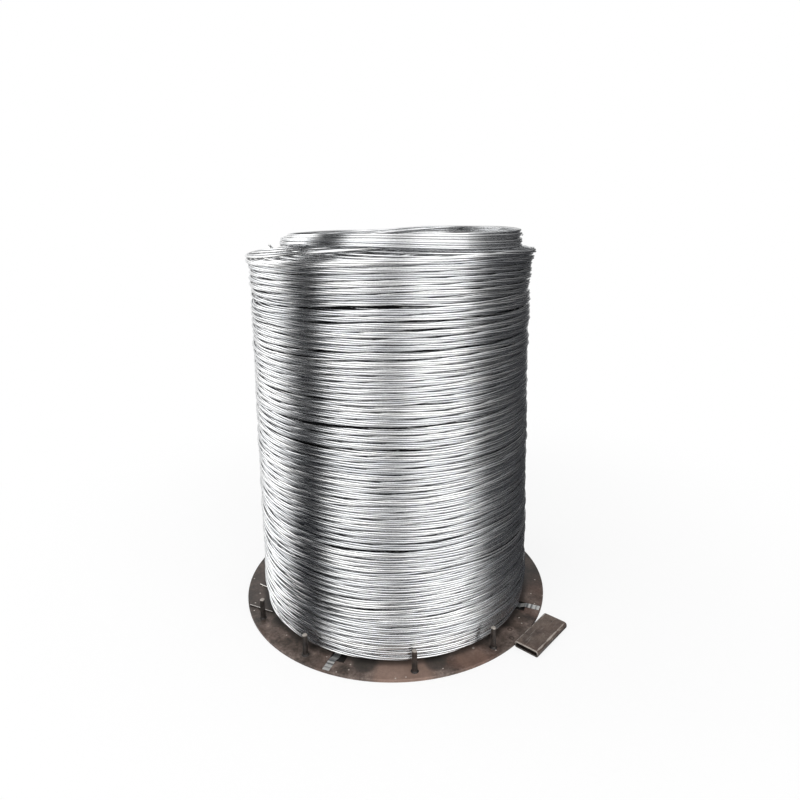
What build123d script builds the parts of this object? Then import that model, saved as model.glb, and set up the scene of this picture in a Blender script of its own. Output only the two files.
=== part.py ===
from build123d import *
import math
import os

# A coil of drawn stainless steel wire, standing on the round steel plate that takes it up.
# Lengths are in millimetres and angles in degrees. Angles go round +Z from +X.
# The origin is the centre of the plate's underside, and -Y is the front.

# Coil of wire: its main body
coil_radius = 402.5
coil_wall = 120.5
coil_height = 1030.0
wire_diameter = 5.5
turn_group_pitch = 17.2
turn_group_relief = 1.2
group_gap_width = 4.2
group_gap_depth = 5.0
coil_edge_rounding = 8.0
foot_inset = 5.0
foot_blend_height = 60.0
lip_flare = 7.0
lip_blend_height = 18.0

# Last turns on top of the main body, a narrower ring that stands off centre, against the bore
crown_turns_wide = 3
crown_bore_gap = 1.0
crown_height = 56.0
crown_group_pitch = 26.0
crown_angle = -34.0

# Round plate under the coil, standing out past it all round
plate_margin = 55.0
plate_thickness = 8.0
plate_edge_chamfer = 1.0

# Radial slots, sunk into the plate's top so that a band can pass under the coil
slot_angles = (-112.0, -25.6)
slot_outer_reach = 14.0
slot_bore_reach = 46.0
slot_width = 42.0
slot_depth = 5.5

# The back of the plate repeats the front, turned half round
half_turn = 180.0

# Pegs welded upright on the plate, round the coil
peg_angles = (-152.1, -123.6, -84.1, -53.7)
peg_coil_gap = 20.5
peg_foot_radius = 7.5
peg_top_radius = 6.5
peg_height = 57.0
peg_top_chamfer = 1.5
weld_radius = 10.5
weld_height = 3.5

# Strapping bands: flat on the plate, then down into the slot and on under the coil.
# Each lies nearer one wall of its slot: -1 is the clockwise wall, seen from above.
strap_width = 19.0
strap_thickness = 1.0
strap_rim_margin = 1.5
strap_bend_margin = 3.0
strap_slope_length = 14.0
strap_end_margin = 6.0
strap_sides = (-1, 1)
strap_wall_gaps = (1.0, 3.5)

# Flattened tube along the rim, standing on the floor beside the plate
tube_angle = -42.9
tube_shift = 44.5
tube_length = 155.0
tube_width = 70.0
tube_height = 18.0
tube_wall = 4.0
tube_corner_radius = 7.0
tube_seat_gap = 0.3

# Thin wire ends on the plate, at the left: angle at the outer end and angle at the coil
tie_wire_diameter = 4.0
tie_wire_coil_gap = 1.0
tie_wire_rim_margin = 3.0
long_tie_angles = (-161.6, -153.2)
short_tie_angles = (-174.7, -171.9)
short_tie_reach = 26.5

# Places that follow from the sizes above
bore_radius = coil_radius - coil_wall
plate_radius = coil_radius + plate_margin
slot_outer_radius = coil_radius + slot_outer_reach
slot_inner_radius = bore_radius - slot_bore_reach
peg_circle_radius = coil_radius + peg_coil_gap + peg_foot_radius
foot_radius = coil_radius - foot_inset
end_relief = wire_diameter / 4
coil_base = plate_thickness + end_relief
coil_top = plate_thickness + coil_height
crown_base = coil_top - end_relief
crown_top = coil_top + crown_height
# A turn of wire spans from the bore on one side to the coil's outside on the other
turn_radius = (coil_radius + bore_radius) / 2
crown_radius = turn_radius + wire_diameter / 2
crown_wall = crown_turns_wide * wire_diameter
crown_offset = crown_radius - crown_wall - bore_radius - crown_bore_gap


def polar_point(radius, angle, height=0.0):
    turn = math.radians(angle)
    return Vector(radius * math.cos(turn), radius * math.sin(turn), height)


def side_radius(height):
    # The coil draws in a little at its foot, and its last loose turns flare out at the top
    above_seat = height - plate_thickness
    below_top = coil_top - height
    drawn_in = foot_inset * math.exp(-above_seat / foot_blend_height)
    flared = lip_flare * math.exp(-below_top / lip_blend_height)
    return coil_radius - drawn_in + flared


def steps(first, last, pitch):
    # Evenly spaced values from first to last, about a pitch apart
    count = max(1, round(abs(last - first) / pitch))
    return [first + (last - first) * index / count for index in range(count + 1)]


def ridges(points, relief):
    # Rounded ridges, one between each point and the next, standing out to the right of the way along
    for start, end in zip(points, points[1:]):
        along = Vector(*end) - Vector(*start)
        outward = Vector(along.Y, -along.X).normalized()
        crest = (Vector(*start) + Vector(*end)) / 2 + outward * relief
        ThreePointArc(start, crest, end)


def turn_groups(levels, radius_at):
    # Rounded groups of turns between the levels, with a narrow sharp gap between each and the next
    half_gap = group_gap_width / 2
    gaps = levels[1:-1]
    edges = [levels[0], *(level + side * half_gap for level in gaps for side in (-1, 1)), levels[-1]]
    for start, end in zip(edges[::2], edges[1::2]):
        ridges([(radius_at(start), start), (radius_at(end), end)], turn_group_relief)
    for level in gaps:
        Polyline((radius_at(level - half_gap), level - half_gap),
                 (radius_at(level) - group_gap_depth, level),
                 (radius_at(level + half_gap), level + half_gap))


def rounded_corner(start, corner, end):
    # A quarter round that swings out towards the corner point
    middle = (Vector(*start) + Vector(*end)) / 2
    crest = middle + (Vector(*corner) - middle) * (math.sqrt(2) - 1)
    ThreePointArc(start, crest, end)


# Main body of the coil and the narrower ring of turns on it
with BuildPart() as wire_coil:
    side_bottom = coil_base + coil_edge_rounding
    side_top = coil_top - end_relief - coil_edge_rounding
    bottom_edge = side_radius(side_bottom) - coil_edge_rounding
    top_edge = side_radius(side_top) - coil_edge_rounding
    end_top = coil_top - end_relief
    with BuildSketch(Plane.XZ):
        with BuildLine():
            Line((0, coil_base), (bore_radius, coil_base))
            ridges([(x, coil_base) for x in steps(bore_radius, bottom_edge, wire_diameter)], end_relief)
            rounded_corner((bottom_edge, coil_base), (side_radius(side_bottom), coil_base),
                           (side_radius(side_bottom), side_bottom))
            turn_groups(steps(side_bottom, side_top, turn_group_pitch), side_radius)
            rounded_corner((side_radius(side_top), side_top), (side_radius(side_top), end_top),
                           (top_edge, end_top))
            ridges([(x, end_top) for x in steps(top_edge, bore_radius, wire_diameter)], end_relief)
            Line((bore_radius, end_top), (0, end_top))
            Line((0, end_top), (0, coil_base))
        make_face()
    revolve(axis=Axis.Z)
    crown_centre = polar_point(crown_offset, crown_angle)
    crown_plane = Plane(origin=crown_centre, x_dir=(1, 0, 0), z_dir=(0, -1, 0))
    crown_inner = crown_radius - crown_wall
    crown_end = crown_top - end_relief
    with BuildSketch(crown_plane):
        with BuildLine():
            Line((crown_inner, crown_base - end_relief), (crown_radius, crown_base - end_relief))
            Line((crown_radius, crown_base - end_relief), (crown_radius, crown_base))
            turn_groups(steps(crown_base, crown_end, crown_group_pitch), lambda height: crown_radius)
            ridges([(x, crown_end) for x in steps(crown_radius, crown_inner, wire_diameter)], end_relief)
            Line((crown_inner, crown_end), (crown_inner, crown_base - end_relief))
        make_face()
    revolve(axis=Axis(crown_centre, (0, 0, 1)))
    with BuildSketch(Plane.XY):
        Circle(bore_radius)
    extrude(amount=crown_top + wire_diameter, mode=Mode.SUBTRACT)

# Round plate with its slots
slot_directions = [angle + turn for turn in (0, half_turn) for angle in slot_angles]
with BuildPart() as base_plate:
    with BuildSketch(Plane.XY):
        Circle(plate_radius)
    extrude(amount=plate_thickness)
    chamfer(base_plate.edges().filter_by(GeomType.CIRCLE), plate_edge_chamfer)
    with BuildSketch(Plane.XY.offset(plate_thickness - slot_depth)):
        for angle in slot_directions:
            with Locations(polar_point((slot_outer_radius + slot_inner_radius) / 2, angle)):
                Rectangle(slot_outer_radius - slot_inner_radius, slot_width, rotation=angle)
    extrude(amount=slot_depth, mode=Mode.SUBTRACT)


# One peg, a round bar with a ring of weld at its foot
def make_peg(angle):
    foot = polar_point(peg_circle_radius, angle, plate_thickness)
    with BuildPart() as peg:
        with BuildSketch(Plane(origin=foot, x_dir=(1, 0, 0), z_dir=(0, -1, 0))):
            with BuildLine():
                Polyline((0, 0), (weld_radius, 0), (peg_foot_radius, weld_height),
                         (peg_top_radius, peg_height - peg_top_chamfer),
                         (peg_top_radius - peg_top_chamfer, peg_height), (0, peg_height), close=True)
            make_face()
        revolve(axis=Axis(foot, (0, 0, 1)))
    return peg.part


# One strapping band, drawn from the side along its slot and given its width
def make_strap(angle, side, wall_gap):
    rim_end = plate_radius - plate_edge_chamfer - strap_rim_margin
    slope_top = slot_outer_radius - strap_bend_margin
    slope_bottom = slope_top - strap_slope_length
    inner_end = slot_inner_radius + strap_end_margin
    slot_floor = plate_thickness - slot_depth
    route = [(rim_end, plate_thickness), (slope_top, plate_thickness),
             (slope_bottom, slot_floor), (inner_end, slot_floor)]
    upper = [(radius, height + strap_thickness) for radius, height in reversed(route)]
    direction = polar_point(1, angle)
    clockwise = polar_point(1, angle - 90)
    shift = (slot_width - strap_width) / 2 - wall_gap
    with BuildPart() as strap:
        with BuildSketch(Plane(origin=clockwise * (-side * shift), x_dir=direction, z_dir=clockwise)):
            with BuildLine():
                Polyline(*route, *upper, close=True)
            make_face()
        extrude(amount=strap_width / 2, both=True)
    return strap.part


# Flattened tube, tangent to the plate's rim and open at both ends
with BuildPart() as rim_tube:
    tube_along = polar_point(1, tube_angle + 90)
    tube_out = polar_point(1, tube_angle)
    tube_distance = plate_radius + tube_seat_gap + tube_width / 2
    tube_start = (tube_out * tube_distance + tube_along * (tube_shift - tube_length / 2)
                  + Vector(0, 0, tube_height / 2))
    with BuildSketch(Plane(origin=tube_start, x_dir=tube_out, z_dir=tube_along)):
        RectangleRounded(tube_width, tube_height, tube_corner_radius)
        RectangleRounded(tube_width - 2 * tube_wall, tube_height - 2 * tube_wall,
                         tube_corner_radius - tube_wall, mode=Mode.SUBTRACT)
    extrude(amount=tube_length)


# One straight thin wire end lying on the plate
def make_tie_wire(outer_radius, outer_angle, inner_angle):
    height = plate_thickness + tie_wire_diameter / 2
    inner_radius = foot_radius + tie_wire_coil_gap + tie_wire_diameter / 2
    outer_end = polar_point(outer_radius, outer_angle, height)
    inner_end = polar_point(inner_radius, inner_angle, height)
    span = inner_end - outer_end
    with BuildPart() as tie_wire:
        with BuildSketch(Plane(origin=outer_end, z_dir=span)):
            Circle(tie_wire_diameter / 2)
        extrude(amount=span.length)
    return tie_wire.part


# Write one file for each piece
os.makedirs("parts", exist_ok=True)
pieces = {"wire_coil": wire_coil.part, "base_plate": base_plate.part, "rim_tube": rim_tube.part}

peg_directions = [angle + turn for turn in (0, half_turn) for angle in peg_angles]
for number, angle in enumerate(peg_directions, start=1):
    pieces[f"peg_{number}"] = make_peg(angle)

strap_places = zip(slot_directions, strap_sides * 2, strap_wall_gaps * 2)
for number, place in enumerate(strap_places, start=1):
    pieces[f"strap_{number}"] = make_strap(*place)

pieces["tie_wire_1"] = make_tie_wire(plate_radius - tie_wire_rim_margin, *long_tie_angles)
pieces["tie_wire_2"] = make_tie_wire(foot_radius + short_tie_reach, *short_tie_angles)

for name, piece in pieces.items():
    piece.label = name
    export_step(piece, f"parts/{name}.step")
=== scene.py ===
import math
import bpy
import numpy as np
from mathutils import Matrix, Vector


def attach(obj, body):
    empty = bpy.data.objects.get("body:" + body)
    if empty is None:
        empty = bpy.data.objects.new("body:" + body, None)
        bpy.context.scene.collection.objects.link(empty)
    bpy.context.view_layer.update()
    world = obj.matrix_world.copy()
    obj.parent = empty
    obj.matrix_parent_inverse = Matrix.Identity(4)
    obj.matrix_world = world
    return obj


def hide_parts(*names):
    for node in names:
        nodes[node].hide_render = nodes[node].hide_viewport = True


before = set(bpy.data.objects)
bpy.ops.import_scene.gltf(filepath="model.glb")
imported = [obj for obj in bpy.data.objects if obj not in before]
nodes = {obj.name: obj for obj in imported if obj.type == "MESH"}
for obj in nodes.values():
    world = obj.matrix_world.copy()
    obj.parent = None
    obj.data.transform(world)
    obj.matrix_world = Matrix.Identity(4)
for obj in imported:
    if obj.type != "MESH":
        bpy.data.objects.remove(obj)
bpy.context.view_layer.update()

# Coil of drawn stainless wire on its take-up plate. Sizes are in mm unless a comment says metres,
# and angles in degrees round +Z from +X. The camera stands at -Y.
mm = 0.001


def polar(radius, angle, height=0.0):
    turn = math.radians(angle)
    return Vector((radius * math.cos(turn), radius * math.sin(turn), height))


# Camera, from the photograph's own view of the plate and the coil
camera = {"across": 5.8, "distance": 1831.5, "height": 1123.8, "pitchDown": 8.24, "roll": 1.31,
          "focalPixels": 618.7, "imagePixels": 800.0, "centreX": 391.1, "centreY": 310.6}


def makeCamera(c):
    data = bpy.data.cameras.new("viewCamera")
    data.sensor_width = 36.0
    data.lens = c["focalPixels"] / c["imagePixels"] * data.sensor_width
    data.shift_x = 0.5 - c["centreX"] / c["imagePixels"]
    data.shift_y = c["centreY"] / c["imagePixels"] - 0.5
    data.clip_end = 200.0
    pitch = math.radians(c["pitchDown"])
    ahead = Vector((0, math.cos(pitch), -math.sin(pitch)))
    level = Vector((1, 0, 0))
    up = level.cross(ahead)
    roll = math.radians(c["roll"])
    right = level * math.cos(roll) - up * math.sin(roll)
    top = up * math.cos(roll) + level * math.sin(roll)
    turn = Matrix((right, top, -ahead)).transposed().to_4x4()
    body = bpy.data.objects.new("viewCamera", data)
    body.matrix_world = Matrix.Translation(Vector((c["across"], -c["distance"], c["height"])) * mm) @ turn
    bpy.context.scene.collection.objects.link(body)
    bpy.context.scene.camera = body


makeCamera(camera)
print("camera set")


# Shader helpers
def linear(hexColour):
    channels = [int(hexColour[i:i + 2], 16) / 255 for i in (1, 3, 5)]
    return tuple(v / 12.92 if v <= 0.04045 else ((v + 0.055) / 1.055) ** 2.4 for v in channels) + (1.0,)


def newMaterial(name):
    material = bpy.data.materials.new(name)
    material.use_nodes = True
    material.node_tree.nodes.clear()
    return material, material.node_tree


def addNode(tree, kind, settings=None, inputs=None):
    # settings are the node's own properties; inputs are values or another node's output
    node = tree.nodes.new(kind)
    for key, value in (settings or {}).items():
        setattr(node, key, value)
    for key, value in (inputs or {}).items():
        if isinstance(value, bpy.types.NodeSocket):
            tree.links.new(value, node.inputs[key])
        else:
            node.inputs[key].default_value = value
    return node


def setRamp(node, stops):
    ramp = node.color_ramp
    while len(ramp.elements) > 1:
        ramp.elements.remove(ramp.elements[-1])
    for index, (place, colour) in enumerate(stops):
        element = ramp.elements[0] if index == 0 else ramp.elements.new(place)
        element.position = place
        element.color = colour if isinstance(colour, tuple) else (colour, colour, colour, 1)
    return node


def paint(obj, material):
    obj.data.materials.clear()
    obj.data.materials.append(material)


# Bright drawn stainless steel wire, pulled cold through a die: a smooth satin shine along each turn, with
# turns that differ a little in tone where the drawing soap and the die marks stay
def drawnWire(name, tones, dullness):
    material, tree = newMaterial(name)
    tone = addNode(tree, "ShaderNodeAttribute", {"attribute_name": "turnTone"})
    along = addNode(tree, "ShaderNodeAttribute", {"attribute_name": "turnLength"})
    # each turn has streaks of its own
    spread = addNode(tree, "ShaderNodeMath", {"operation": "MULTIPLY"}, {0: tone.outputs["Fac"], 1: 37.0})
    place = addNode(tree, "ShaderNodeCombineXYZ", None, {0: along.outputs["Fac"], 1: spread.outputs[0]})
    # streaks about 150 mm long
    streaks = addNode(tree, "ShaderNodeTexNoise", None,
                      {"Vector": place.outputs[0], "Scale": 6.5, "Detail": 2.0, "Roughness": 0.5})
    half = addNode(tree, "ShaderNodeMath", {"operation": "MULTIPLY"}, {0: streaks.outputs["Fac"], 1: 0.5})
    summed = addNode(tree, "ShaderNodeMath", {"operation": "MULTIPLY_ADD"},
                     {0: tone.outputs["Fac"], 1: 0.5, 2: half.outputs[0]})
    colour = setRamp(addNode(tree, "ShaderNodeValToRGB", None, {0: summed.outputs[0]}),
                     [(0.2, linear(tones[0])), (0.5, linear(tones[1])), (0.8, linear(tones[2]))])
    rough = addNode(tree, "ShaderNodeMapRange", None,
                    {"Value": streaks.outputs["Fac"], "From Min": 0.3, "From Max": 0.7,
                     "To Min": dullness + 0.04, "To Max": dullness - 0.04})
    shader = addNode(tree, "ShaderNodeBsdfPrincipled", None,
                     {"Base Color": colour.outputs[0], "Metallic": 1.0, "Roughness": rough.outputs[0]})
    addNode(tree, "ShaderNodeOutputMaterial", None, {"Surface": shader.outputs[0]})
    return material


wireTones = ("#CDCFD1", "#DFE0E1", "#EEEEED")
wireSteel = drawnWire("drawnStainlessWire", wireTones, 0.2)


def shadedSteel(name, colour):
    # The turns deep inside the coil, which hardly any light reaches, painted near black as their shade
    material, tree = newMaterial(name)
    where = addNode(tree, "ShaderNodeTexCoord")
    stretched = addNode(tree, "ShaderNodeMapping", None,
                        {"Vector": where.outputs["Object"], "Scale": (4.0, 4.0, 180.0)})
    bands = addNode(tree, "ShaderNodeTexNoise", None,
                    {"Vector": stretched.outputs[0], "Scale": 1.0, "Detail": 3.0})
    tint = setRamp(addNode(tree, "ShaderNodeValToRGB", None, {0: bands.outputs["Fac"]}),
                   [(0.35, linear(colour[0])), (0.65, linear(colour[1]))])
    shader = addNode(tree, "ShaderNodeBsdfPrincipled", None,
                     {"Base Color": tint.outputs[0], "Metallic": 0.6, "Roughness": 0.7})
    addNode(tree, "ShaderNodeOutputMaterial", None, {"Surface": shader.outputs[0]})
    return material


# painted shade: these near-black colours stand in for the shadow among the inner turns
innerSteel = shadedSteel("shadedInnerTurns", ("#0E0F11", "#1B1C1F"))
print("wire materials made")


# Turns of wire. Each turn is a ring of about the same size, laid off centre, so that it touches the
# coil's outside on one side and the bore on the other, and the side that it leans to goes slowly round.
coil = {"seat": 8.0, "top": 1063.4, "lip": 1042.0, "wire": 5.5, "turnRadius": 342.9, "offset": 56.5,
        "bore": 282.0, "turnsPerRound": 20.0, "seed": 14, "stations": 96, "mostTurns": 1300, "wobble": 0.4,
        "footInset": 5.0, "footBlend": 60.0, "lipFlare": 10.0, "lipBlend": 16.0,
        "furrow": 1.0, "furrowStart": (16.0, 32.0), "furrowEnd": (60.0, 120.0),
        "leanDrift": (60, 0.03), "leanJitter": 0.035, "radiusDrift": (30, 0.8), "radiusJitter": 0.25,
        "offsetDrift": (30, 0.9), "offsetJitter": 0.3,
        "looseLow": 0.02, "looseHigh": 0.09, "looseChange": 820, "looseSwing": 2.6,
        "skinDepth": 24.0, "boreDepth": 9.0, "topTurns": 50, "sides": 6, "topSides": 8}
pileInner, pileOuter, pileBin = 230.0, 440.0, 1.0
settleSteps, spanStations, dropPerStation = 12, 24, 1.3
rng = np.random.default_rng(coil["seed"])
around = np.arange(coil["stations"]) * 2 * math.pi / coil["stations"]
pile = np.full((coil["stations"], int((pileOuter - pileInner) / pileBin)), coil["seat"] + coil["wire"] / 2)


def restOn(radii, wire, lift=0.0):
    # Height of a new turn at each station: it lies on what is there, and being stiff it spans the dips
    rows = np.arange(len(radii))
    floor = pile[rows, ((radii - pileInner) / pileBin).astype(int)] + lift
    for side in (1, -1):
        for _ in range(spanStations):
            floor = np.maximum(floor, np.roll(floor, side) - dropPerStation)
    height = floor.copy()
    for _ in range(settleSteps):
        height = (np.roll(height, 1) + 2 * height + np.roll(height, -1)) / 4
        height = np.maximum(height, floor)
    # The turn's round back holds up what comes next to it or on it
    reach = int(wire / pileBin)
    for step in range(-reach, reach + 1):
        columns = ((radii - pileInner) / pileBin).astype(int) + step
        columns = np.clip(columns, 0, pile.shape[1] - 1)
        aside = (columns + 0.5) * pileBin + pileInner - radii
        back = np.sqrt(np.maximum(wire ** 2 - aside ** 2, 0))
        lifted = np.where(np.abs(aside) < wire, height + back, 0)
        pile[rows, columns] = np.maximum(pile[rows, columns], lifted)
    return height


def slowDrift(count, span, size):
    # Noise that changes slowly from turn to turn
    window = np.hanning(span + 2)[1:-1]
    drift = np.convolve(rng.normal(0, 1, count + span - 1), window, "valid")
    return drift / np.sqrt(np.sum(window ** 2)) * size


def sideShift(height, c):
    lip = c["lipFlare"] * np.exp(-np.maximum(c["lip"] - height, 0) / c["lipBlend"])
    return lip - c["footInset"] * np.exp(-(height - c["seat"]) / c["footBlend"])


def rise(value, low, high):
    share = np.clip((value - low) / (high - low), 0, 1)
    return share * share * (3 - 2 * share)


def layTurn(radius, offset, side, wobble, shift, drawn=0.0, furrow=0.0, lift=0.0):
    radii = radius + offset * np.cos(around - side) + shift * (1 + np.cos(around - side)) / 2 - drawn
    # A turn leaves the coil's outside a little faster than a true circle, so furrows show between groups
    away = np.abs((np.degrees(around - side) + 180) % 360 - 180)
    radii -= furrow * rise(away, *coil["furrowStart"]) * (1 - rise(away, *coil["furrowEnd"]))
    radii += rng.normal(0, wobble) * np.cos(2 * around + rng.uniform(0, 6.3))
    radii += rng.normal(0, wobble / 2) * np.cos(3 * around + rng.uniform(0, 6.3))
    radii = np.maximum(radii, coil["bore"] + coil["wire"] / 2 - drawn)
    return radii, restOn(radii, coil["wire"], lift), rng.random()


def layCoil(c):
    most = c["mostTurns"]
    lean = np.cumsum(2 * math.pi / c["turnsPerRound"] * (1 + slowDrift(most, *c["leanDrift"])))
    lean += rng.normal(0, c["leanJitter"], most)
    radius = c["turnRadius"] + slowDrift(most, *c["radiusDrift"]) + rng.normal(0, c["radiusJitter"], most)
    offset = c["offset"] + slowDrift(most, *c["offsetDrift"]) + rng.normal(0, c["offsetJitter"], most)
    turns, level = [], c["seat"]
    while level < c["top"] - c["wire"]:
        index = len(turns)
        # Loose turns lie across the others, more of them near the top
        loose = rng.random() < (c["looseLow"] if level < c["looseChange"] else c["looseHigh"])
        side = lean[index] + (rng.uniform(-c["looseSwing"], c["looseSwing"]) if loose else 0.0)
        turns.append(layTurn(radius[index], offset[index], side, c["wobble"], sideShift(level, c),
                             furrow=c["furrow"]))
        level = float(np.mean(turns[-1][1]))
    return turns


# The coil bulges a little to the right towards its top: fully at its outside and not at all at the bore
bulge = {"size": 17.0, "angle": -4.0, "blend": 230.0}


def bulged(turn, c, k):
    radii, height, tone = turn
    boreSide = c["turnRadius"] - c["offset"] + c["boreDepth"]
    outward = np.clip((radii - boreSide) / (c["turnRadius"] + c["offset"] - boreSide), 0, 1)
    lopsided = ((1 + np.cos(around - math.radians(k["angle"]))) / 2) ** 2
    fade = np.exp(-np.maximum(c["lip"] - height, 0) / k["blend"])
    return radii + k["size"] * outward * lopsided * fade, height, tone


mainTurns = [bulged(turn, coil, bulge) for turn in layCoil(coil)]
print("coil laid:", len(mainTurns), "turns, top at", round(float(mainTurns[-1][1].max()), 1))


def tubeMesh(name, runs, wire, sides):
    # runs: list of (points in mm as an array, is it a closed ring, tone)
    points, faces, tones, lengths = [], [], [], []
    start = 0
    ringAngles = np.arange(sides) * 2 * math.pi / sides
    for path, closed, tone in runs:
        count = len(path)
        if closed:
            ahead = np.roll(path, -1, 0) - np.roll(path, 1, 0)
        else:
            ahead = np.gradient(path, axis=0)
        ahead /= np.linalg.norm(ahead, axis=1)[:, None]
        outward = path * (1, 1, 0)
        outward = outward - ahead * np.sum(outward * ahead, 1)[:, None]
        outward /= np.linalg.norm(outward, axis=1)[:, None]
        up = np.cross(ahead, outward)
        ring = (path[:, None, :] + (outward[:, None, :] * np.cos(ringAngles)[None, :, None]
                + up[:, None, :] * np.sin(ringAngles)[None, :, None]) * wire / 2)
        points.append(ring.reshape(-1, 3))
        steps = np.linalg.norm(np.diff(path, axis=0, prepend=path[:1]), axis=1)
        lengths.append(np.repeat(np.cumsum(steps) * mm, sides))
        tones.append(np.full(count * sides, tone))
        spans = count if closed else count - 1
        here = np.arange(spans)[:, None] * sides
        there = ((np.arange(spans) + 1) % count)[:, None] * sides
        corner = np.arange(sides)[None, :]
        after = (corner + 1) % sides
        quads = np.stack([here + corner, here + after, there + after, there + corner], -1)
        faces.append(quads.reshape(-1, 4) + start)
        if not closed:
            last = start + (count - 1) * sides
            faces.append(start + np.arange(sides)[::-1])
            faces.append(last + np.arange(sides))
        start += count * sides
    mesh = bpy.data.meshes.new(name)
    quadBlocks = [f for f in faces if f.ndim == 2]
    capBlocks = [f for f in faces if f.ndim == 1]
    corners = np.concatenate([f.ravel() for f in quadBlocks + capBlocks])
    quadCount = sum(len(f) for f in quadBlocks)
    sizes = np.concatenate([np.full(quadCount, 4), np.full(len(capBlocks), sides)]).astype(int)
    vertices = np.concatenate(points) * mm
    mesh.vertices.add(len(vertices))
    mesh.vertices.foreach_set("co", vertices.ravel())
    mesh.loops.add(len(corners))
    mesh.loops.foreach_set("vertex_index", corners.astype(np.int32))
    mesh.polygons.add(len(sizes))
    mesh.polygons.foreach_set("loop_start", np.concatenate([[0], np.cumsum(sizes)[:-1]]).astype(np.int32))
    mesh.update(calc_edges=True)
    mesh.validate()
    for label, values in (("turnTone", tones), ("turnLength", lengths)):
        layer = mesh.attributes.new(label, "FLOAT", "POINT")
        layer.data.foreach_set("value", np.concatenate(values).astype(np.float32))
    mesh.shade_smooth()
    piece = bpy.data.objects.new(name, mesh)
    bpy.context.scene.collection.objects.link(piece)
    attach(piece, "root")
    paint(piece, wireSteel)
    print(name, "runs", len(runs), "triangles", int(np.sum(sizes - 2)))
    return piece


def pathOf(radii, height):
    return np.stack([radii * np.cos(around), radii * np.sin(around), height], 1)


def shownRuns(turn, keep):
    # Splits a turn into the stretches that show, each a little longer than what shows
    radii, height, tone = turn
    path = pathOf(radii, height)
    keep = keep | np.roll(keep, 1) | np.roll(keep, -1)
    if keep.all():
        return [(path, True, tone)]
    first = int(np.argmin(keep))
    order = (np.arange(len(keep)) + first) % len(keep)
    runs, run = [], []
    for index in order:
        if keep[index]:
            run.append(index)
            continue
        if len(run) > 2:
            runs.append((path[run], False, tone))
        run = []
    if len(run) > 2:
        runs.append((path[run], False, tone))
    return runs


def sortRuns(turns, c):
    skin, bore, top = [], [], []
    outerReach = c["turnRadius"] + c["offset"]
    innerReach = c["turnRadius"] - c["offset"]
    for index, turn in enumerate(turns):
        radii, height, _ = turn
        if index >= len(turns) - c["topTurns"]:
            top += shownRuns(turn, np.ones(len(radii), bool))
            continue
        depth = outerReach + sideShift(height, c) - radii
        skin += shownRuns(turn, depth < c["skinDepth"])
        bore += shownRuns(turn, radii < innerReach + c["boreDepth"])
    return skin, bore, top


# Several pieces, so that none has 200,000 triangles
skinRuns, boreRuns, topRuns = sortRuns(mainTurns, coil)
third = len(skinRuns) // 3
half = len(boreRuns) // 2
coilParts = {"coil_turns_lower": skinRuns[:third], "coil_turns_middle": skinRuns[third:2 * third],
             "coil_turns_upper": skinRuns[2 * third:], "coil_turns_bore_lower": boreRuns[:half],
             "coil_turns_bore_upper": boreRuns[half:]}
coilPieces = [tubeMesh(name, runs, coil["wire"], coil["sides"]) for name, runs in coilParts.items()]
coilPieces.append(tubeMesh("coil_turns_top", topRuns, coil["wire"], coil["topSides"]))

# Crown: the last turns all lean the same way, against the bore, and stack up in two bands. The first turn
# hangs a little above the coil, and between the bands one turn lies further in, so dark lines show there.
# At the left the bands draw in towards the top.
crown = {"angle": -34.0, "offset": 46.5, "radius": 342.3, "columns": 2, "columnPitch": 5.6,
         "slack": 0.15, "sway": 0.4, "overhang": 8.0, "leftSpread": 0.4, "layers": 8, "insetLayer": 3,
         "inset": 6.0, "lift": 4.5, "leftDraw": (0, 1, 3, 5, 9, 15, 23, 33)}


def layRing(k, inward, draw, lift):
    left = (1 - np.cos(around)) / 2
    side = math.radians(k["angle"] + rng.normal(0, k["sway"]))
    radius = k["radius"] - inward * (1 + k["leftSpread"] * left) + k["overhang"] * left
    radius += rng.normal(0, k["slack"])
    offset = k["offset"] + rng.normal(0, k["slack"])
    return layTurn(radius, offset, side, k["slack"], 0.0, drawn=(draw + k["overhang"]) * left, lift=lift)


def layCrown(k):
    turns = []
    for layer in range(k["layers"]):
        # Each layer lies in the furrows of the one below
        for column in range(k["columns"]):
            inset = k["inset"] if layer == k["insetLayer"] else 0.0
            inward = (column + 0.5 * (layer % 2)) * k["columnPitch"] + inset
            turns.append(layRing(k, inward, k["leftDraw"][layer], 0.0 if layer or column else k["lift"]))
    return turns


crownTurns = layCrown(crown)
print("crown laid:", len(crownTurns), "turns, top at", round(max(float(t[1].max()) for t in crownTurns), 1))
crownRuns = [run for turn in crownTurns for run in shownRuns(turn, np.ones(len(turn[0]), bool))]


def wireEnd(points):
    # A cut end that sticks out, drawn as a smooth curve through a few points
    knots = np.array(points, float)
    steps = np.linspace(0, len(knots) - 1, 14)
    path = np.stack([np.interp(steps, np.arange(len(knots)), knots[:, axis]) for axis in range(3)], 1)
    for _ in range(3):
        path[1:-1] = (path[:-2] + 2 * path[1:-1] + path[2:]) / 4
    return path, False, 0.9


looseEnds = [wireEnd([(-306, -84, 1038), (-316, -92, 1048), (-330, -103, 1067)]),
             wireEnd([(352, 40, 1084), (374, 8, 1081), (392, -24, 1076)])]
coilPieces.append(tubeMesh("coil_turns_crown", crownRuns + looseEnds, coil["wire"], coil["topSides"]))


# Dark core behind the turns that show: painted shade standing in for the turns deeper inside
core = {"inner": 296.0, "outer": 377.0, "bottom": 10.0, "top": 996.0, "segments": 96, "levels": 40}


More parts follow.
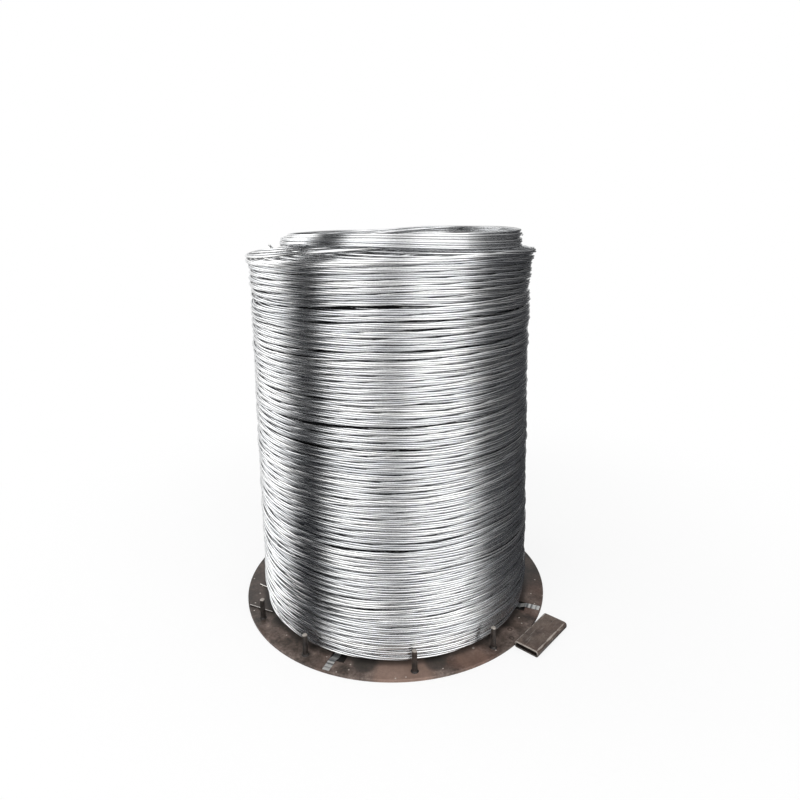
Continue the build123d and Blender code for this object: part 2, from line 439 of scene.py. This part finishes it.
def makeCore(k):
    ringAngles = np.arange(k["segments"]) * 2 * math.pi / k["segments"]
    levels = np.linspace(k["bottom"], k["top"], k["levels"])
    loop = [(k["outer"], z) for z in levels] + [(k["inner"], z) for z in levels[::-1]]
    points = [(r * math.cos(a), r * math.sin(a), z) for r, z in loop for a in ringAngles]
    n, m = k["segments"], len(loop)
    faces = [(i * n + j, i * n + (j + 1) % n, ((i + 1) % m) * n + (j + 1) % n, ((i + 1) % m) * n + j)
             for i in range(m) for j in range(n)]
    mesh = bpy.data.meshes.new("coil_core")
    mesh.from_pydata([Vector(p) * mm for p in points], [], faces)
    mesh.shade_smooth()
    piece = bpy.data.objects.new("coil_core", mesh)
    bpy.context.scene.collection.objects.link(piece)
    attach(piece, "root")
    paint(piece, innerSteel)
    return piece


coilPieces.append(makeCore(core))
for piece in coilPieces:
    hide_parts("wire_coil")
print("coil made")


# Hot-rolled steel with brown mill scale: dull and blotched, rust tinted where the scale is thin, with pale
# specks of weld spatter and darker oily patches
def scaledSteel(name, look, spots=(), rings=()):
    material, tree = newMaterial(name)
    where = addNode(tree, "ShaderNodeTexCoord")
    place = where.outputs["Object"]
    blotch = addNode(tree, "ShaderNodeTexNoise", None,
                     {"Vector": place, "Scale": look["blotch"], "Detail": 7.0, "Roughness": 0.65})
    colour = setRamp(addNode(tree, "ShaderNodeValToRGB", None, {0: blotch.outputs["Fac"]}),
                     [(0.32 + 0.12 * i, linear(tone)) for i, tone in enumerate(look["tones"])]).outputs[0]
    # rust shows in broad patches of about 150 mm
    broad = addNode(tree, "ShaderNodeTexNoise", None, {"Vector": place, "Scale": 6.5, "Detail": 3.0})
    rusty = addNode(tree, "ShaderNodeMapRange", None,
                    {"Value": broad.outputs["Fac"], "From Min": 0.5, "From Max": 0.68,
                     "To Max": look["rust"]})
    colour = addNode(tree, "ShaderNodeMix", {"data_type": "RGBA"},
                     {0: rusty.outputs[0], 6: colour, 7: linear(look["rustColour"])}).outputs[2]
    # grit, about 2 mm across, and drawn coarser on the plate, about 6 mm
    grit = addNode(tree, "ShaderNodeTexNoise", None,
                   {"Vector": place, "Scale": look.get("grit", 420.0), "Detail": 5.0, "Roughness": 0.7})
    gritty = addNode(tree, "ShaderNodeMapRange", None,
                     {"Value": grit.outputs["Fac"], "From Min": 0.35, "From Max": 0.7,
                      "To Min": 0.62, "To Max": 1.38})
    colour = addNode(tree, "ShaderNodeVectorMath", {"operation": "SCALE"},
                     {0: colour, "Scale": gritty.outputs[0]}).outputs[0]
    # the spots' outlines wander by up to 15 mm either way
    wander = 30.0 * mm
    warp = addNode(tree, "ShaderNodeVectorMath", {"operation": "SCALE"},
                   {0: broad.outputs["Color"], "Scale": wander})
    warped = addNode(tree, "ShaderNodeVectorMath", {"operation": "ADD"}, {0: place, 1: warp.outputs[0]})
    for spot in spots:
        centre = polar(spot["radius"], spot["angle"], spot["height"]) * mm + Vector((1, 1, 1)) * wander / 2
        away = addNode(tree, "ShaderNodeVectorMath", {"operation": "DISTANCE"},
                       {0: warped.outputs[0], 1: centre})
        mask = addNode(tree, "ShaderNodeMapRange", {"interpolation_type": "SMOOTHSTEP"},
                       {"Value": away.outputs["Value"], "From Min": spot["size"] * mm * 0.7,
                        "From Max": spot["size"] * mm * 1.15, "To Min": spot["strength"], "To Max": 0.0})
        colour = addNode(tree, "ShaderNodeMix", {"data_type": "RGBA"},
                         {0: mask.outputs[0], 6: colour, 7: linear(spot["colour"])}).outputs[2]
    for ring in rings:
        centre = polar(ring["radius"], ring["angle"], ring["height"]) * mm
        away = addNode(tree, "ShaderNodeVectorMath", {"operation": "DISTANCE"}, {0: place, 1: centre})
        band = setRamp(addNode(tree, "ShaderNodeValToRGB", None,
                               {0: addNode(tree, "ShaderNodeMath", {"operation": "DIVIDE"},
                                           {0: away.outputs["Value"], 1: ring["size"] * mm * 2}).outputs[0]}),
                       [(0.0, 0.1), (0.25, 0.25), (0.42, 0.85), (0.5, 0.8), (0.62, 0.0)])
        colour = addNode(tree, "ShaderNodeMix", {"data_type": "RGBA"},
                         {0: band.outputs[0], 6: colour, 7: linear(ring["colour"])}).outputs[2]
    # spatter: bright grains 1 to 4 mm across, a few to each hand's breadth
    grains = addNode(tree, "ShaderNodeTexVoronoi", {"voronoi_dimensions": look.get("grains", "3D")},
                     {"Vector": place, "Scale": look["spatter"], "Randomness": 1.0})
    near = addNode(tree, "ShaderNodeMath", {"operation": "LESS_THAN"},
                   {0: grains.outputs["Distance"], 1: 0.065})
    pick = addNode(tree, "ShaderNodeSeparateColor", None, {0: grains.outputs["Color"]})
    few = addNode(tree, "ShaderNodeMath", {"operation": "GREATER_THAN"}, {0: pick.outputs[0], 1: 0.72})
    bright = addNode(tree, "ShaderNodeMath", {"operation": "MULTIPLY"},
                     {0: near.outputs[0], 1: few.outputs[0]})
    colour = addNode(tree, "ShaderNodeMix", {"data_type": "RGBA"},
                     {0: bright.outputs[0], 6: colour, 7: linear("#C9BFB6")}).outputs[2]
    rough = addNode(tree, "ShaderNodeMapRange", None,
                    {"Value": blotch.outputs["Fac"], "From Min": 0.3, "From Max": 0.7,
                     "To Min": look["gloss"] - 0.1, "To Max": look["gloss"] + 0.12})
    heights = addNode(tree, "ShaderNodeMath", {"operation": "MULTIPLY_ADD"},
                      {0: grit.outputs["Fac"], 1: 0.3, 2: blotch.outputs["Fac"]})
    bump = addNode(tree, "ShaderNodeBump", None,
                   {"Height": heights.outputs[0], "Strength": 0.5, "Distance": 0.0012})
    shader = addNode(tree, "ShaderNodeBsdfPrincipled", None,
                     {"Base Color": colour, "Metallic": 0.25, "Roughness": rough.outputs[0],
                      "Normal": bump.outputs[0]})
    addNode(tree, "ShaderNodeOutputMaterial", None, {"Surface": shader.outputs[0]})
    return material, tree, shader, colour


plateTop = coil["seat"]


def plateSpot(radius, angle, size, strength=0.75, colour="#36332F"):
    return {"radius": radius, "angle": angle, "height": plateTop, "size": size, "strength": strength,
            "colour": colour}


# Broad light and dark areas first, then oily stains, and last one large grain of spatter
plateSpots = (plateSpot(437, -88.0, 80, 0.55, "#A88B7C"), plateSpot(430, -63.0, 45, 0.3, "#96796A"),
              plateSpot(430, 180.0, 190, 0.6, "#332E2B"), plateSpot(430, 12.0, 190, 0.62, "#26221F"),
              plateSpot(412, -76.0, 33), plateSpot(407, -102.0, 33), plateSpot(436, -123.6, 17, 0.5),
              plateSpot(436, -53.7, 19, 0.5, "#3E2E28"), plateSpot(404, -146.0, 24, 0.6),
              plateSpot(425, 38.0, 30), plateSpot(418, 151.0, 24),
              plateSpot(402.8, -59.6, 4.0, 0.9, "#D9CFC4"))
ringMark = {"height": plateTop, "size": 6.5, "colour": "#2A201C"}
plateRings = ({**ringMark, "radius": 417.4, "angle": -41.7}, {**ringMark, "radius": 440.5, "angle": -45.3},
              {**ringMark, "radius": 433, "angle": 128.0})
plateLook = {"tones": ("#2F2926", "#51463F", "#6F615A", "#8C7C73"), "blotch": 24.0, "rust": 0.6,
             "grit": 170.0, "grains": "2D", "rustColour": "#6B4F43", "spatter": 34.0, "gloss": 0.5,
             "slotShadeDeep": 2.5, "slotShadeShallow": 0.8, "slotReach": 450.0, "footShade": (398.0, 416.0)}


def platePaint():
    k = plateLook
    material, tree, shader, colour = scaledSteel("millScalePlate", k, plateSpots, plateRings)
    # Painted shade: the slots' floors are painted near black, and the plate is painted darker close to the
    # coil's foot
    where = addNode(tree, "ShaderNodeNewGeometry")
    axes = addNode(tree, "ShaderNodeSeparateXYZ", None, {0: where.outputs["Position"]})
    slotShadeMask = addNode(tree, "ShaderNodeMapRange", None,
                     {"Value": axes.outputs[2], "From Min": (plateTop - k["slotShadeDeep"]) * mm,
                      "From Max": (plateTop - k["slotShadeShallow"]) * mm, "To Min": 1.0, "To Max": 0.0})
    flat = addNode(tree, "ShaderNodeVectorMath", {"operation": "MULTIPLY"},
                   {0: where.outputs["Position"], 1: (1, 1, 0)})
    outward = addNode(tree, "ShaderNodeVectorMath", {"operation": "LENGTH"}, {0: flat.outputs[0]})
    inside = addNode(tree, "ShaderNodeMath", {"operation": "LESS_THAN"},
                     {0: outward.outputs["Value"], 1: k["slotReach"] * mm})
    slotShadeMask = addNode(tree, "ShaderNodeMath", {"operation": "MULTIPLY"},
                     {0: slotShadeMask.outputs[0], 1: inside.outputs[0]})
    foot = addNode(tree, "ShaderNodeMapRange", {"interpolation_type": "SMOOTHSTEP"},
                   {"Value": outward.outputs["Value"], "From Min": k["footShade"][0] * mm,
                    "From Max": k["footShade"][1] * mm, "To Min": 0.7, "To Max": 0.0})
    # both masks mix in the near-black painted shade
    for mask in (foot, slotShadeMask):
        colour = addNode(tree, "ShaderNodeMix", {"data_type": "RGBA"},
                         {0: mask.outputs[0], 6: colour, 7: linear("#14110F")}).outputs[2]
    tree.links.new(colour, shader.inputs["Base Color"])
    return material


# Round bar cut into pegs: dark scale, with the top end lighter, partly battered bright and partly a painted
# highlight, and the foot darker, partly the burnt weld and partly painted shade
pegLook = {"tones": ("#1F1B19", "#2E2926", "#3C3632", "#4C4540"), "blotch": 60.0, "rust": 0.3,
           "rustColour": "#5A4338", "spatter": 90.0, "gloss": 0.45, "height": 57.0}


def pegPaint():
    material, tree, shader, colour = scaledSteel("millScaleBar", pegLook)
    where = addNode(tree, "ShaderNodeNewGeometry")
    axes = addNode(tree, "ShaderNodeSeparateXYZ", None, {0: where.outputs["Position"]})
    chips = addNode(tree, "ShaderNodeTexNoise", None, {"Vector": where.outputs["Position"], "Scale": 160.0})
    raised = addNode(tree, "ShaderNodeMath", {"operation": "MULTIPLY_ADD"},
                     {0: chips.outputs["Fac"], 1: 0.008, 2: axes.outputs[2]})
    top = plateTop + pegLook["height"]
    # painted highlight and wear: the top end is made lighter
    wearAndHighlight = addNode(tree, "ShaderNodeMapRange", None,
                   {"Value": raised.outputs[0], "From Min": (top + 0.5) * mm,
                    "From Max": (top + 3.0) * mm, "To Max": 0.85})
    colour = addNode(tree, "ShaderNodeMix", {"data_type": "RGBA"},
                     {0: wearAndHighlight.outputs[0], 6: colour, 7: linear("#B3ACA4")}).outputs[2]
    # burnt weld and painted shade: the foot is made darker
    weldAndShade = addNode(tree, "ShaderNodeMapRange", None,
                   {"Value": axes.outputs[2], "From Min": (plateTop + 2.5) * mm,
                    "From Max": (plateTop + 5.0) * mm, "To Min": 0.8, "To Max": 0.0})
    colour = addNode(tree, "ShaderNodeMix", {"data_type": "RGBA"},
                     {0: weldAndShade.outputs[0], 6: colour, 7: linear("#1A1513")}).outputs[2]
    tree.links.new(colour, shader.inputs["Base Color"])
    return material


# Flattened steel tube: the same scale, scuffed on top, with edges rubbed bright and a sawn end
tubeLook = {"tones": ("#403834", "#5C514B", "#72665D", "#867A71"), "blotch": 30.0, "rust": 0.35,
            "rustColour": "#644C40", "spatter": 60.0, "gloss": 0.42,
            "angle": -42.9, "inner": 457.8, "outer": 527.8, "near": -33.0, "top": 18.0, "edge": 3.4}


def tubePaint():
    k = tubeLook
    material, tree, shader, colour = scaledSteel("millScaleTube", k)
    where = addNode(tree, "ShaderNodeNewGeometry")
    turned = addNode(tree, "ShaderNodeVectorRotate", {"rotation_type": "Z_AXIS"},
                     {"Vector": where.outputs["Position"], "Angle": -math.radians(k["angle"])})
    axes = addNode(tree, "ShaderNodeSeparateXYZ", None, {0: turned.outputs[0]})
    # scratches run mostly along the tube, 1 mm wide
    scratchPlace = addNode(tree, "ShaderNodeVectorMath", {"operation": "MULTIPLY"},
                           {0: turned.outputs[0], 1: (260.0, 22.0, 40.0)})
    scratches = addNode(tree, "ShaderNodeTexNoise", None,
                        {"Vector": scratchPlace.outputs[0], "Scale": 1.0, "Detail": 2.0, "Distortion": 0.5})
    scratched = addNode(tree, "ShaderNodeMapRange", None,
                        {"Value": scratches.outputs["Fac"], "From Min": 0.62, "From Max": 0.7,
                         "To Max": 0.45})
    colour = addNode(tree, "ShaderNodeMix", {"data_type": "RGBA"},
                     {0: scratched.outputs[0], 6: colour, 7: linear("#A39A92")}).outputs[2]
    wear = addNode(tree, "ShaderNodeTexNoise", None,
                   {"Vector": where.outputs["Position"], "Scale": 70.0, "Detail": 4.0})
    high = addNode(tree, "ShaderNodeMapRange", None,
                   {"Value": axes.outputs[2], "From Min": (k["top"] - 5) * mm,
                    "From Max": (k["top"] - 2) * mm})
    # the top's two long edges and the sawn end, each as a distance in metres
    for axis, place, reach in ((0, k["inner"] + 4.5, k["edge"]), (0, k["outer"] - 4.5, k["edge"]),
                               (1, k["near"], 2.2)):
        off = addNode(tree, "ShaderNodeMath", {"operation": "SUBTRACT"},
                      {0: axes.outputs[axis], 1: place * mm})
        off = addNode(tree, "ShaderNodeMath", {"operation": "ABSOLUTE"}, {0: off.outputs[0]})
        ragged = addNode(tree, "ShaderNodeMath", {"operation": "MULTIPLY_ADD"},
                         {0: wear.outputs["Fac"], 1: 2 * reach * mm, 2: off.outputs[0]})
        line = addNode(tree, "ShaderNodeMapRange", None,
                       {"Value": ragged.outputs[0], "From Min": reach * mm, "From Max": 1.6 * reach * mm,
                        "To Min": 0.8, "To Max": 0.0})
        if axis == 0:
            line = addNode(tree, "ShaderNodeMath", {"operation": "MULTIPLY"},
                           {0: line.outputs[0], 1: high.outputs[0]})
        colour = addNode(tree, "ShaderNodeMix", {"data_type": "RGBA"},
                         {0: line.outputs[0], 6: colour, 7: linear("#B9B0A8")}).outputs[2]
    # painted shade: the sides below the top are painted dark, darker towards the bottom
    sideShade = addNode(tree, "ShaderNodeMapRange", {"interpolation_type": "SMOOTHSTEP"},
                    {"Value": axes.outputs[2], "From Min": 5 * mm, "From Max": (k["top"] - 3) * mm,
                     "To Min": 0.8, "To Max": 0.0})
    colour = addNode(tree, "ShaderNodeMix", {"data_type": "RGBA"},
                     {0: sideShade.outputs[0], 6: colour, 7: linear("#1D1A18")}).outputs[2]
    tree.links.new(colour, shader.inputs["Base Color"])
    return material


# Zinc-coated strapping band: rubbed bright across its width in places, with dull grey between
bandLook = {"dull": "#77797A", "mid": "#A8A9A9", "bright": "#E4E4E2"}


def bandPaint():
    material, tree = newMaterial("strappingBand")
    where = addNode(tree, "ShaderNodeNewGeometry")
    outward = addNode(tree, "ShaderNodeVectorMath", {"operation": "LENGTH"}, {0: where.outputs["Position"]})
    # cross bands about 12 mm long
    bands = addNode(tree, "ShaderNodeTexNoise", {"noise_dimensions": "1D"},
                    {"W": outward.outputs["Value"], "Scale": 85.0, "Detail": 1.5})
    fine = addNode(tree, "ShaderNodeTexNoise", None,
                   {"Vector": where.outputs["Position"], "Scale": 300.0, "Detail": 3.0})
    mixed = addNode(tree, "ShaderNodeMath", {"operation": "MULTIPLY_ADD"},
                    {0: fine.outputs["Fac"], 1: 0.25, 2: bands.outputs["Fac"]})
    colour = setRamp(addNode(tree, "ShaderNodeValToRGB", None, {0: mixed.outputs[0]}),
                     [(0.46, linear(bandLook["dull"])), (0.58, linear(bandLook["mid"])),
                      (0.72, linear(bandLook["bright"]))])
    bump = addNode(tree, "ShaderNodeBump", None,
                   {"Height": fine.outputs["Fac"], "Strength": 0.2, "Distance": 0.0004})
    rough = addNode(tree, "ShaderNodeMapRange", None,
                    {"Value": mixed.outputs[0], "To Min": 0.55, "To Max": 0.25})
    shader = addNode(tree, "ShaderNodeBsdfPrincipled", None,
                     {"Base Color": colour.outputs[0], "Metallic": 0.7, "Roughness": rough.outputs[0],
                      "Normal": bump.outputs[0]})
    addNode(tree, "ShaderNodeOutputMaterial", None, {"Surface": shader.outputs[0]})
    return material


paints = {"base_plate": platePaint(), "peg": pegPaint(), "rim_tube": tubePaint(), "strap": bandPaint(),
          "tie_wire": drawnWire("brightTieWire", ("#D8D3CE", "#E8E4E0", "#F5F2EF"), 0.22)}
for name, node in nodes.items():
    for start, material in paints.items():
        if name.startswith(start):
            paint(node, material)
print("plate painted")


# Studio: pale floor, white surroundings, soft lamps, and dark flags that only reflections see. Its sizes
# and places are in metres.
studio = {"roomLight": 0.72, "floorColour": "#F2F2F2", "floorGlow": 0.8, "floorHalf": 60.0,
          "shadowStart": 0.7, "shadowReach": 1.9}


def makeStudio(k):
    world = bpy.data.worlds.new("paleRoom")
    bpy.context.scene.world = world
    world.use_nodes = True
    tree = world.node_tree
    tree.nodes.clear()
    path = addNode(tree, "ShaderNodeLightPath")
    seen = addNode(tree, "ShaderNodeMath", {"operation": "MAXIMUM"},
                   {0: path.outputs["Is Camera Ray"], 1: path.outputs["Is Glossy Ray"]})
    seen = addNode(tree, "ShaderNodeMath", {"operation": "MAXIMUM"},
                   {0: seen.outputs[0], 1: path.outputs["Is Transmission Ray"]})
    strength = addNode(tree, "ShaderNodeMapRange", None,
                       {"Value": seen.outputs[0], "To Min": k["roomLight"], "To Max": 1.0})
    back = addNode(tree, "ShaderNodeBackground", None,
                   {"Color": (1, 1, 1, 1), "Strength": strength.outputs[0]})
    addNode(tree, "ShaderNodeOutputWorld", None, {"Surface": back.outputs[0]})
    # The floor fades into the white room away from the object, and keeps its shadow near it
    mesh = bpy.data.meshes.new("paleFloor")
    h = k["floorHalf"]
    mesh.from_pydata([(-h, -h, 0), (h, -h, 0), (h, h, 0), (-h, h, 0)], [], [(0, 1, 2, 3)])
    floor = bpy.data.objects.new("paleFloor", mesh)
    bpy.context.scene.collection.objects.link(floor)
    material, tree = newMaterial("paleFloorPaint")
    path = addNode(tree, "ShaderNodeLightPath")
    where = addNode(tree, "ShaderNodeNewGeometry")
    away = addNode(tree, "ShaderNodeVectorMath", {"operation": "LENGTH"}, {0: where.outputs["Position"]})
    far = addNode(tree, "ShaderNodeMapRange", {"interpolation_type": "SMOOTHSTEP"},
                  {"Value": away.outputs["Value"], "From Min": k["shadowStart"],
                   "From Max": k["shadowReach"], "To Min": k["floorGlow"], "To Max": 1.0})
    share = addNode(tree, "ShaderNodeMath", {"operation": "MULTIPLY"},
                    {0: far.outputs[0], 1: path.outputs["Is Camera Ray"]})
    matt = addNode(tree, "ShaderNodeBsdfDiffuse", None, {"Color": linear(k["floorColour"])})
    white = addNode(tree, "ShaderNodeEmission", None, {"Color": (1, 1, 1, 1), "Strength": 1.0})
    mix = addNode(tree, "ShaderNodeMixShader", None,
                  {0: share.outputs[0], 1: matt.outputs[0], 2: white.outputs[0]})
    addNode(tree, "ShaderNodeOutputMaterial", None, {"Surface": mix.outputs[0]})
    paint(floor, material)


# Dark flags stand round the object like a tent, and only reflections see them. A turn of wire mirrors the
# camera's view into a fan of directions that meets the horizon at one angle, so each flag fills the fans that
# meet it from angle - halfWidth to angle + halfWidth. Angles are in degrees seen from above, 0 is the
# camera's side and plus is to its right. floor, low and high say how dark the flag is on the floor, at the
# horizon and high up.
flags = ({"angle": -68.5, "halfWidth": 10.0, "soft": 13.0, "floor": 1.0, "low": 1.0, "high": 1.0},
         {"angle": 114.0, "halfWidth": 30.0, "soft": 26.0, "floor": 0.95, "low": 0.95, "high": 0.0},
         {"angle": -1.0, "halfWidth": 5.0, "soft": 20.0, "floor": 0.7, "low": 0.22, "high": 0.12})
# The tent's profile is (radius, height), first along the floor and then up and over
tent = {"profile": ((0.46, 0.004), (0.65, 0.004), (0.9, 0.004), (1.4, 0.004), (2.4, 0.004), (2.7, 0.25),
                    (2.8, 0.7), (2.8, 1.1), (2.8, 1.5), (2.8, 2.0), (2.7, 2.6), (2.4, 3.3), (1.9, 4.0),
                    (1.2, 4.6), (0.4, 5.0)),
        "coilRadius": 0.40, "lowEye": 0.25, "highEye": 0.60, "floorRows": 5, "floorDark": 0.08,
        "floorWiden": 5.0, "highTilt": (20.0, 58.0), "segments": 144, "colour": (0.007, 0.008, 0.012, 1)}


def mirrorAngle(point, eye, k):
    # Where the fan through this point meets the horizon, and how steeply the turn looks up to the point
    look = Vector((0, camera["distance"] - k["coilRadius"] / mm, camera["height"] - eye / mm)).normalized().y
    side = 0.0
    for _ in range(40):
        turnPoint = Vector((math.sin(side), -math.cos(side), 0)) * k["coilRadius"] + Vector((0, 0, eye))
        way = (Vector(point) - turnPoint).normalized()
        side += (math.atan2(way.x, look - way.y) - side) / 2
    return math.degrees(side + math.asin(look * math.sin(side))), math.degrees(math.asin(way.z))


def darkness(point, eye, onFloor, k):
    angle, tilt = mirrorAngle(point, eye, k)
    lowTilt, fullTilt = k["highTilt"]
    upward = min(max((tilt - lowTilt) / (fullTilt - lowTilt), 0.0), 1.0)
    widen = k["floorWiden"] if onFloor else 0.0
    most = 0.0
    for flag in flags:
        edge = min(max((abs(angle - flag["angle"]) - flag["halfWidth"] - widen) / flag["soft"], 0.0), 1.0)
        share = flag["floor"] if onFloor else flag["low"] + (flag["high"] - flag["low"]) * upward
        most = max(most, share * (1 - edge * edge * (3 - 2 * edge)))
    return most


def makeTent(k):
    n, m = k["segments"], len(k["profile"])
    points, faces, values = [], [], []
    for i in range(n + 1):
        turn = 2 * math.pi * i / n + math.pi / 2
        for row, (radius, height) in enumerate(k["profile"]):
            points.append((radius * math.cos(turn), radius * math.sin(turn), height))
            onFloor = row < k["floorRows"]
            shade = darkness(points[-1], k["lowEye"] if onFloor else k["highEye"], onFloor, k)
            values.append(max(k["floorDark"] if onFloor else 0.0, shade))
    for i in range(n):
        faces += [(m * i + j, m * (i + 1) + j, m * (i + 1) + j + 1, m * i + j + 1) for j in range(m - 1)]
    mesh = bpy.data.meshes.new("reflectionFlags")
    mesh.from_pydata(points, [], faces)
    layer = mesh.attributes.new("darkness", "FLOAT", "POINT")
    layer.data.foreach_set("value", np.array(values, np.float32))
    piece = bpy.data.objects.new("reflectionFlags", mesh)
    bpy.context.scene.collection.objects.link(piece)
    piece.visible_camera = False
    piece.visible_diffuse = False
    piece.visible_shadow = False
    piece.visible_transmission = False
    material, tree = newMaterial("blackFlag")
    dark = addNode(tree, "ShaderNodeAttribute", {"attribute_name": "darkness"})
    clear = addNode(tree, "ShaderNodeBsdfTransparent")
    black = addNode(tree, "ShaderNodeEmission", None, {"Color": k["colour"], "Strength": 1.0})
    mix = addNode(tree, "ShaderNodeMixShader", None,
                  {0: dark.outputs["Fac"], 1: clear.outputs[0], 2: black.outputs[0]})
    addNode(tree, "ShaderNodeOutputMaterial", None, {"Surface": mix.outputs[0]})
    paint(piece, material)


lamps = ({"name": "keySoftbox", "at": (-2.0, -2.9, 3.2), "size": 3.6, "watts": 60.0},
         {"name": "fillSoftbox", "at": (2.0, -2.8, 2.6), "size": 3.6, "watts": 54.0},
         {"name": "edgeSoftbox", "at": (-3.2, 1.4, 2.4), "size": 2.4, "watts": 30.0})


def makeLamp(k):
    data = bpy.data.lights.new(k["name"], "AREA")
    data.size = k["size"]
    data.energy = k["watts"]
    lamp = bpy.data.objects.new(k["name"], data)
    lamp.location = k["at"]
    lamp.rotation_mode = "QUATERNION"
    lamp.rotation_quaternion = (Vector((0, 0, 0.5)) - Vector(k["at"])).to_track_quat("-Z", "Y")
    bpy.context.scene.collection.objects.link(lamp)


makeStudio(studio)
makeTent(tent)
for lamp in lamps:
    makeLamp(lamp)
bpy.context.scene.view_settings.view_transform = "Standard"
print("studio made")
